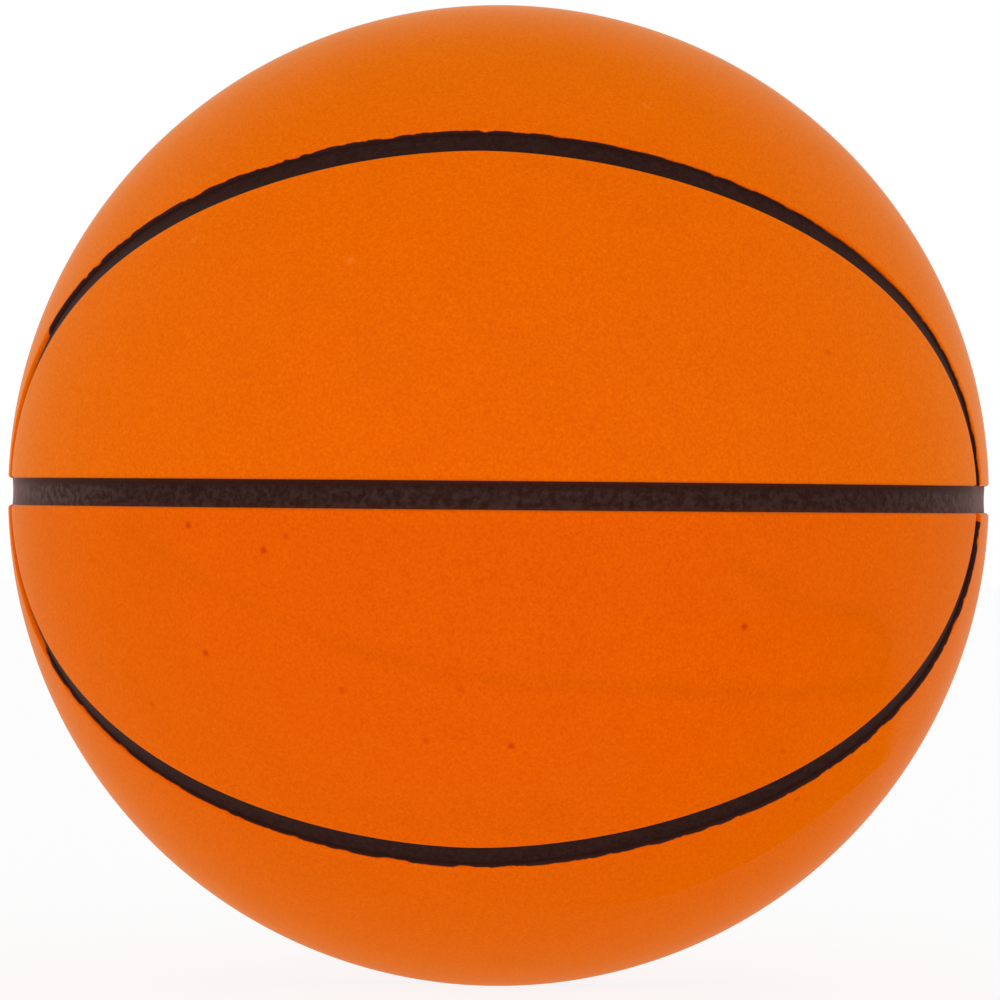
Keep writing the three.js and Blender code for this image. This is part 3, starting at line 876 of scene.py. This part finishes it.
def cover_rubber(name, cover, colours):
    """Glossy orange rubber, faintly mottled, with a fine grain, flecks and a scuff. Black paint from the
    seams covers its edges, with a ragged outline beside the loops."""
    material, graph = new_material(name)
    place = graph.place()
    mottle = graph.noise(place, *COVER_MOTTLE) - NOISE_MIDDLE
    grain = graph.noise(place, *COVER_GRAIN)
    cover = np.array(cover)
    spread = cover * GRAIN_SPREAD
    orange = graph.blend(grain, opaque(cover - spread), opaque(cover + spread))
    orange = graph.toned(orange, 1 + MOTTLE_TONE * mottle - SCUFF_TONE * graph.attribute("scuff"))
    for fleck_colour, flecks, radius, depth in (
        (colours.fleck, BOLD_FLECKS, DARK_FLECK_RADIUS, BOLD_FLECK_DEPTH),
        (colours.fleck, FAINT_FLECKS, DARK_FLECK_RADIUS, FAINT_FLECK_DEPTH),
        (colours.pale_fleck, PALE_FLECKS, PALE_FLECK_RADIUS, PALE_FLECK_DEPTH),
    ):
        orange = flecked(graph, place, orange, fleck_colour, flecks, radius, depth)
    glossy = graph.rubber({
        **GLOSSY_ORANGE,
        "Base Color": orange,
        "Coat Weight": COAT_WEIGHT + COAT_MOTTLE * mottle,
        "Normal": graph.bump(grain, *COVER_RELIEF),
    })
    # the edge paint is paler than the strips' black: painted light against the shade on the rounded edges
    paint = graph.rubber({**MATT_BLACK, "Base Color": opaque(EDGE_PAINT_PAINTED_LIGHT * np.array(colours.seam))})
    dents = graph.rise(graph.noise(place, *PAINT_BLOTS), *PAINT_DENTS)
    reach = (PAINT_REACH - PAINT_DENT * dents) * graph.attribute("bleed")
    bare = graph.rise(graph.attribute("seam") - reach, -PAINT_SOFTNESS, PAINT_SOFTNESS)
    graph.finish(graph.mixed(bare, paint, glossy))
    return material


def seam_rubber(colours):
    """Black rubber of the seam strips, with blots of dust, and orange where the loops' black ends. On the
    equator's strip the dust share is also painted shade and painted sheen, and the orange at its edges is a
    painted bounce from the panels.
    """
    material, graph = new_material("seam_rubber")
    place = graph.place()
    blots = graph.noise(place, *SEAM_BLOTS)
    grain = graph.noise(place, *SEAM_GRAIN)
    dusty = graph.attribute("dust") * graph.rise(blots, *DUST_BLOTS)
    black = graph.toned(tuple(colours.seam), 1 + SEAM_GRAIN_TONE * (grain - NOISE_MIDDLE))
    black = graph.blend(dusty, black, opaque(colours.dust))
    graph.finish(graph.rubber({
        **MATT_BLACK,
        "Base Color": graph.blend(graph.attribute("bare"), black, opaque(colours.lower_cover_with_painted_shade)),
        "Roughness": between(*SEAM_ROUGHNESS, blots),
        "Normal": graph.bump(grain, *SEAM_RELIEF),
    }))
    return material


def layer_rubber(name, colour, roughness):
    """Plain rubber of a hidden layer, clouded with talc."""
    material, graph = new_material(name)
    place = graph.place()
    clouds = graph.noise(place, *LAYER_CLOUDS)
    grain = graph.noise(place, *LAYER_GRAIN)
    graph.finish(graph.rubber({
        "Base Color": graph.toned(tuple(colour), between(*LAYER_TONES, clouds)),
        "Roughness": roughness + LAYER_CLOUD_ROUGHNESS * clouds,
        "Specular IOR Level": LAYER_SPECULAR,
        "Normal": graph.bump(grain, *LAYER_RELIEF),
    }))
    return material


def wound_thread(colours):
    """Nylon thread laid in crossing turns: two sets of stripes, one over the other in patches."""
    material, graph = new_material("wound_thread")
    place = graph.place()
    patches = graph.rise(graph.noise(place, *THREAD_PATCHES), *THREAD_CROSSING)
    along, across = (
        graph.node(
            "ShaderNodeTexWave",
            {"wave_type": "BANDS", "bands_direction": bands},
            {"Vector": place, **THREAD_WAVES},
            output="Fac",
        )
        for bands in ("X", "Z")
    )
    strands = along * patches + across * (1 - patches)
    graph.finish(graph.rubber({
        "Base Color": graph.toned(tuple(colours.thread), between(*THREAD_TONES, strands)),
        "Roughness": between(*THREAD_ROUGHNESS, strands),
        "Specular IOR Level": LAYER_SPECULAR,
        "Normal": graph.bump(strands, *THREAD_RELIEF),
    }))
    return material


def seen(graph):
    """1 for rays that come from the camera, a reflection or something clear, and 0 for light."""
    rays = [
        graph.node("ShaderNodeLightPath", output=name)
        for name in ("Is Camera Ray", "Is Glossy Ray", "Is Transmission Ray")
    ]
    return graph.math("MAXIMUM", graph.math("MAXIMUM", rays[0], rays[1]), rays[2])


def white_world(sky_light):
    """An even white sky with a darker ceiling. It lights the ball at a plain level, and it is white itself
    where it is seen directly, in a reflection or through something clear."""
    world = bpy.data.worlds.new("white_sky")
    world.use_nodes = True
    bpy.context.scene.world = world
    graph = Graph(world.node_tree)
    way = graph.node("ShaderNodeTexCoord", output="Generated")
    up = graph.node("ShaderNodeSeparateXYZ", None, {0: way}, output="Z")
    in_view = seen(graph)
    shade = between(CEILING_SHADE, MIRRORED_CEILING_SHADE, in_view)
    strength = between(sky_light, 1, in_view) * (1 - shade * graph.rise(up, *CEILING_HEIGHTS))
    sky = graph.node("ShaderNodeBackground", None, {"Color": WHITE, "Strength": strength})
    graph.node("ShaderNodeOutputWorld", None, {"Surface": sky})


def white_floor(sky_light):
    """A floor like a light table: it glows as the sky does, and still takes some of the ball's shadow."""
    material, graph = new_material("white_floor")
    paper = graph.node("ShaderNodeBsdfDiffuse", None, {"Color": PAPER})
    strength = between(sky_light, 1, seen(graph))
    glow = graph.node("ShaderNodeEmission", None, {"Color": WHITE, "Strength": strength})
    mirrored = graph.node("ShaderNodeLightPath", output="Is Glossy Ray")
    shadow = between(FLOOR_SHADOW, MIRRORED_SHADOW, mirrored)
    graph.finish(graph.mixed(1 - shadow, paper, glow))
    return material


def black_card():
    """Black where the card's fade is 1, and clear where it is 0."""
    material, graph = new_material("black_card")
    black = graph.node("ShaderNodeBsdfDiffuse", None, {"Color": BLACK})
    clear = graph.node("ShaderNodeBsdfTransparent")
    graph.finish(graph.mixed(graph.attribute("fade"), clear, black))
    return material


def stage_sheet(name, x, y, height, material):
    """A level sheet of the stage at a height, over grids of x and y."""
    points = np.stack([x, y, np.full_like(x, height)], axis=-1)
    faces = grid_faces(*x.shape)
    mesh = bpy.data.meshes.new(name)
    mesh.from_pydata(points.reshape(-1, 3).tolist(), [], faces.reshape(-1, 4).tolist())
    mesh.materials.append(material)
    sheet = bpy.data.objects.new(name, mesh)
    bpy.context.scene.collection.objects.link(sheet)
    return sheet


class BALL_OT_set_stage(bpy.types.Operator):
    """Lays the white floor and sky, and places the lamp and the camera"""

    bl_idname = "ball.set_stage"
    bl_label = "Set Stage"

    def execute(self, context):
        stage = context.scene.ball_stage
        context.scene.view_settings.view_transform = "Standard"
        white_world(stage.sky_light)
        self.lay_floor(stage)
        self.hang_lamp(context, stage)
        self.lay_card()
        self.place_camera(context, stage)
        return {"FINISHED"}

    def lay_floor(self, stage):
        """A square sheet under the ball."""
        half = stage.floor_size / 2
        x, y = np.meshgrid((-half, half), (-half, half))
        stage_sheet("floor", x, y, -BALL_RADIUS, white_floor(stage.sky_light))

    def hang_lamp(self, context, stage):
        """A large soft lamp in front of the ball, a little to the left."""
        lamp = bpy.data.lights.new("key", "AREA")
        lamp.shape = "DISK"
        lamp.size = stage.key_size
        lamp.energy = stage.key_power
        key = bpy.data.objects.new("key", lamp)
        key.location = stage.key_place
        key.rotation_euler = key.location.to_track_quat("Z", "Y").to_euler()
        key.visible_glossy = False
        context.scene.collection.objects.link(key)

    def lay_card(self):
        """A black card on the floor at the right, which only reflections show: a stretch of a ring that
        fades out at both ends. It is a dark sheet that stands in for shade on the floor as the ball's
        reflections show it."""
        angle = np.linspace(*CARD_TURN, CARD_STEPS + 1)
        fade = np.clip(np.minimum(angle - angle[0], angle[-1] - angle) / CARD_FADE, 0, 1)
        x = CARD_MIDDLE[0] + np.outer(CARD_RADII, np.cos(angle))
        y = CARD_MIDDLE[1] + np.outer(CARD_RADII, np.sin(angle))
        card = stage_sheet("card", x, y, CARD_LIFT - BALL_RADIUS, black_card())
        set_attribute(card.data, "fade", np.tile(fade, len(CARD_RADII)))
        for ray in ("camera", "diffuse", "transmission", "volume_scatter", "shadow"):
            setattr(card, f"visible_{ray}", False)

    def place_camera(self, context, stage):
        """A long lens level with the ball's centre. The ball's outline is the cone that touches it, so it
        looks wider than the ball's radius at its centre's distance."""
        lens = bpy.data.cameras.new("camera")
        distance = stage.camera_distance
        tangent = BALL_RADIUS / math.sqrt(distance**2 - BALL_RADIUS**2)
        lens.lens = lens.sensor_width * stage.picture_share / (2 * tangent)
        lens.shift_x, lens.shift_y = stage.lens_shift
        camera = bpy.data.objects.new("camera", lens)
        turn = Matrix.Rotation(stage.camera_turn, 3, "Z")
        level = Matrix.Rotation(math.pi / 2, 3, "X")
        roll = Matrix.Rotation(stage.camera_roll, 3, "Z")
        camera.location = turn @ Vector((0, -distance, 0))
        camera.rotation_euler = (turn @ level @ roll).to_euler()
        context.scene.collection.objects.link(camera)
        context.scene.camera = camera


def bore_radius(valve):
    """The bore that the plug's stem slides in."""
    return valve.stem_radius + valve.clearance


def counterbore_radius(valve):
    """The recess that the plug's head lies in."""
    return valve.stem_radius + valve.head_lip + valve.clearance


def neck_radius(valve):
    """The seat's neck, which goes through the layers."""
    return counterbore_radius(valve) + valve.neck_wall


def rim_radius(valve):
    """The seat's rim, which shows in the cover."""
    return neck_radius(valve) + valve.rim_ledge


class BALL_OT_lay_panels(bpy.types.Operator):
    """Lays the eight orange panels of the cover"""

    bl_idname = "ball.lay_panels"
    bl_label = "Lay Panels"

    def execute(self, context):
        seams, valve = context.scene.ball_seams, context.scene.ball_valve
        colours = context.scene.ball_colours
        rubbers = {
            "upper": cover_rubber("upper_cover_rubber", colours.upper_cover, colours),
            # the lower panels take the darker colour, which is painted shade
            "lower": cover_rubber("lower_cover_rubber", colours.lower_cover_with_painted_shade, colours),
        }
        hole = ValveHole(rim_radius(valve) + seams.clearance, valve.fillet)
        for side, half in QUARTERS:
            back, lower = side == "back", half == "lower"
            loop = Loop(seams, back, lower)
            for shape, grid in (("lens", lens_grid(loop, seams)), ("wrap", wrap_grid(loop, seams))):
                cut = hole if (shape, side, half) == ("lens", "back", "upper") else None
                skin = panel_skin(grid, seams, back, lower, cut)
                name = f"{side}_{half}_{shape}"
                skin.piece(f"{name}_cover", rubbers[half], "ball", "cover_rubber", f"{name}_panel")
        return {"FINISHED"}


class BALL_OT_lay_seams(bpy.types.Operator):
    """Lays the black strips in the grooves between the panels"""

    bl_idname = "ball.lay_seams"
    bl_label = "Lay Seams"

    def execute(self, context):
        seams = context.scene.ball_seams
        rubber = seam_rubber(context.scene.ball_colours)
        fill = seams.clearance - STRIP_GAP
        along = np.linspace(0, 1, STRIP_COLUMNS + 1)
        self.lay_loops(seams, fill, along, rubber)
        self.lay_sides(seams, fill, along, rubber)
        self.lay_equator(seams, fill, rubber)
        return {"FINISHED"}

    def lay_loops(self, seams, fill, along, rubber):
        """The strips of the four half loops, between the lines inside and outside each of them."""
        base = base_latitude(seams)
        for side, half in QUARTERS:
            back, lower = side == "back", half == "lower"
            loop = Loop(seams, back, lower)
            inside, outside = (
                loop.edge(from_left(along, loop.start(edge, fill, base)), edge, fill) for edge in (-1, 1)
            )
            skin = strip_skin(inside, outside, seams, back, lower, loop.paint_gap)
            name = f"{side}_{half}_loop"
            skin.piece(f"{name}_seam", rubber, "ball", "seam_rubber", f"{name}_strip")

    def lay_sides(self, seams, fill, along, rubber):
        """The strips over the top and under the bottom, between the lines on both sides of the middle."""
        reach = (seams.side_width / 2 + fill) / BALL_RADIUS
        over = from_left(along, side_start(reach, base_latitude(seams)))
        for half in ("upper", "lower"):
            lines = side_line(over, -reach), side_line(over, reach)
            skin = strip_skin(*lines, seams, lower=half == "lower")
            name = f"{half}_side_seam"
            skin.piece(f"{name}_inlay", rubber, "ball", "seam_rubber", f"{name}_strip")

    def lay_equator(self, seams, fill, rubber):
        """The ring round the equator: the strips' section, turned about +Z."""
        half = seams.equator_width / 2 + fill
        across = np.linspace(-1, 1, STRIP_ROWS + 1)
        top = np.stack([STRIP_TOP - seams.dish * (1 - across**2), half * across], axis=1)
        section = np.concatenate([[[PANEL_BASE, -half]], top, [[PANEL_BASE, half], [PANEL_BASE, -half]]])
        ring = revolved(section, UP, RING_SEGMENTS)
        # dust on the strip's lower part only: its black upper edge is painted shade
        dust = np.interp(ring[..., 2] / half, DUST_AND_SHADE_HEIGHTS, EQUATOR_DUST_AND_SHADE)
        # more dust colour towards the strip's ends at -X and +X: painted sheen
        dust = dust * np.interp(ring[..., 0] / BALL_RADIUS, PAINTED_SHEEN_PLACES, PAINTED_SHEEN_GAIN)
        # orange at both edges of the strip: a painted bounce from the orange panels beside it
        painted_bounce = np.interp(np.abs(ring[..., 2]) / half, PAINTED_BOUNCE_EDGE, (0, PAINTED_BOUNCE_SHARE))
        skin = Skin()
        skin.add(ring, closed=True, dust=dust, bare=painted_bounce)
        skin.piece("equator_seam_inlay", rubber, "ball", "seam_rubber", "equator_seam_strip")


class BALL_OT_wrap_layers(bpy.types.Operator):
    """Makes the carcass, the thread winding and the bladder under the cover"""

    bl_idname = "ball.wrap_layers"
    bl_label = "Wrap Layers"

    def execute(self, context):
        seams, valve = context.scene.ball_seams, context.scene.ball_valve
        colours = context.scene.ball_colours
        hole = neck_radius(valve) + seams.clearance
        finishes = (
            (layer_rubber("carcass_rubber", colours.carcass, CARCASS_ROUGHNESS), "carcass_rubber"),
            (wound_thread(colours), "winding_thread"),
            (layer_rubber("bladder_rubber", colours.bladder, BLADDER_ROUGHNESS), "bladder_rubber"),
        )
        for node, (material, slot) in zip(LAYER_NODES, finishes):
            inside, outside = (
                sphere_arc(radius, math.pi, math.asin(hole / radius), LAYER_ARC_STEPS)
                for radius in radii(node)
            )
            skin = revolved_skin(np.concatenate([outside, inside[::-1]]), LAYER_SEGMENTS)
            skin.piece(f"{node}_layer", material, "ball", slot, node)
        return {"FINISHED"}


class BALL_OT_fit_valve(bpy.types.Operator):
    """Fits the valve's seat in the back of the ball and the plug in the seat"""

    bl_idname = "ball.fit_valve"
    bl_label = "Fit Valve"

    def execute(self, context):
        seams, valve = context.scene.ball_seams, context.scene.ball_valve
        rubber = layer_rubber("valve_rubber", context.scene.ball_colours.bladder, VALVE_ROUGHNESS)
        for name, profile, body in (
            ("valve_seat", self.seat_profile(valve, seams), "ball"),
            ("valve_plug", self.plug_profile(valve), "plug"),
        ):
            skin = revolved_skin(profile, VALVE_SEGMENTS)
            skin.piece(f"{name}_moulding", rubber, body, "valve_rubber", name)
        return {"FINISHED"}

    def seat_profile(self, valve, seams):
        """A rim that shows, a neck through the layers, a flange that follows the bladder's inner face and
        a boss with the plug's bore. It closes on itself."""
        bore, recess = bore_radius(valve), counterbore_radius(valve)
        neck, rim = neck_radius(valve), rim_radius(valve)
        boss = bore + valve.boss_wall
        flange = boss + valve.flange_reach
        shoulder = radii("carcass")[1] + seams.clearance
        above = radii("air_bladder")[0] - seams.clearance
        below = above - valve.flange_wall
        floor = RIM_TOP - valve.head_height - valve.clearance
        bevel = BOSS_END + valve.fillet
        outside = np.array([
            (bore, bevel),
            (bore + valve.fillet, BOSS_END),
            (boss - valve.fillet, BOSS_END),
            (boss, bevel),
        ])
        under = sphere_arc(below, math.asin(boss / below), math.asin(flange / below), FILLET_STEPS)
        over = sphere_arc(above, math.asin(flange / above), math.asin(neck / above), FILLET_STEPS)
        inside = filleted([
            (neck, shoulder, 0),
            (rim, shoulder, 0),
            (rim, RIM_TOP, valve.fillet),
            (recess, RIM_TOP, valve.fillet),
            (recess, floor, 0),
            (bore, floor, 0),
            (bore, bevel, 0),
        ])
        return np.concatenate([outside, under, over, inside])

    def plug_profile(self, valve):
        """A rounded tip, a stem, a head and the needle's channel with its funnel, from axis to axis."""
        stem, needle = valve.stem_radius, valve.needle_radius
        head = stem + valve.head_lip
        head_base = RIM_TOP - valve.head_height
        needle_end = BOSS_END + valve.needle_end_wall
        angle = np.linspace(math.pi, math.pi / 2, 2 * FILLET_STEPS)
        tip_heights = BOSS_END + (BOSS_END - PLUG_END) * np.cos(angle)
        tip = np.stack([stem * np.abs(np.sin(angle)), tip_heights], axis=1)
        upper = filleted([
            (stem, head_base, 0),
            (head, head_base, 0),
            (head, RIM_TOP, valve.fillet),
            (needle + valve.funnel, RIM_TOP, valve.fillet),
            (needle, RIM_TOP - valve.funnel, 0),
            (needle, needle_end, 0),
            (0, needle_end, 0),
        ])
        return np.concatenate([tip, upper])


STEPS = (BALL_OT_set_stage, BALL_OT_lay_panels, BALL_OT_lay_seams, BALL_OT_wrap_layers, BALL_OT_fit_valve)


class BALL_PT_build(bpy.types.Panel):
    """Lists the steps of building the ball"""

    bl_idname = "BALL_PT_build"
    bl_label = "Toy Basketball"
    bl_space_type = "VIEW_3D"
    bl_region_type = "UI"
    bl_category = "Ball"

    def draw(self, context):
        for step in STEPS:
            self.layout.operator(step.bl_idname)


GROUPS = {
    "ball_seams": SeamSizes,
    "ball_valve": ValveSizes,
    "ball_colours": BallColours,
    "ball_stage": StageSizes,
}
CLASSES = (*GROUPS.values(), *STEPS, BALL_PT_build)


def register():
    for kind in CLASSES:
        bpy.utils.register_class(kind)
    for name, group in GROUPS.items():
        setattr(bpy.types.Scene, name, PointerProperty(type=group))


def unregister():
    for name in GROUPS:
        delattr(bpy.types.Scene, name)
    for kind in reversed(CLASSES):
        bpy.utils.unregister_class(kind)


def main():
    """Builds the ball."""
    register()
    bpy.ops.ball.set_stage()
    bpy.ops.ball.lay_panels()
    bpy.ops.ball.lay_seams()
    bpy.ops.ball.wrap_layers()
    bpy.ops.ball.fit_valve()


if __name__ == "__main__":
    main()
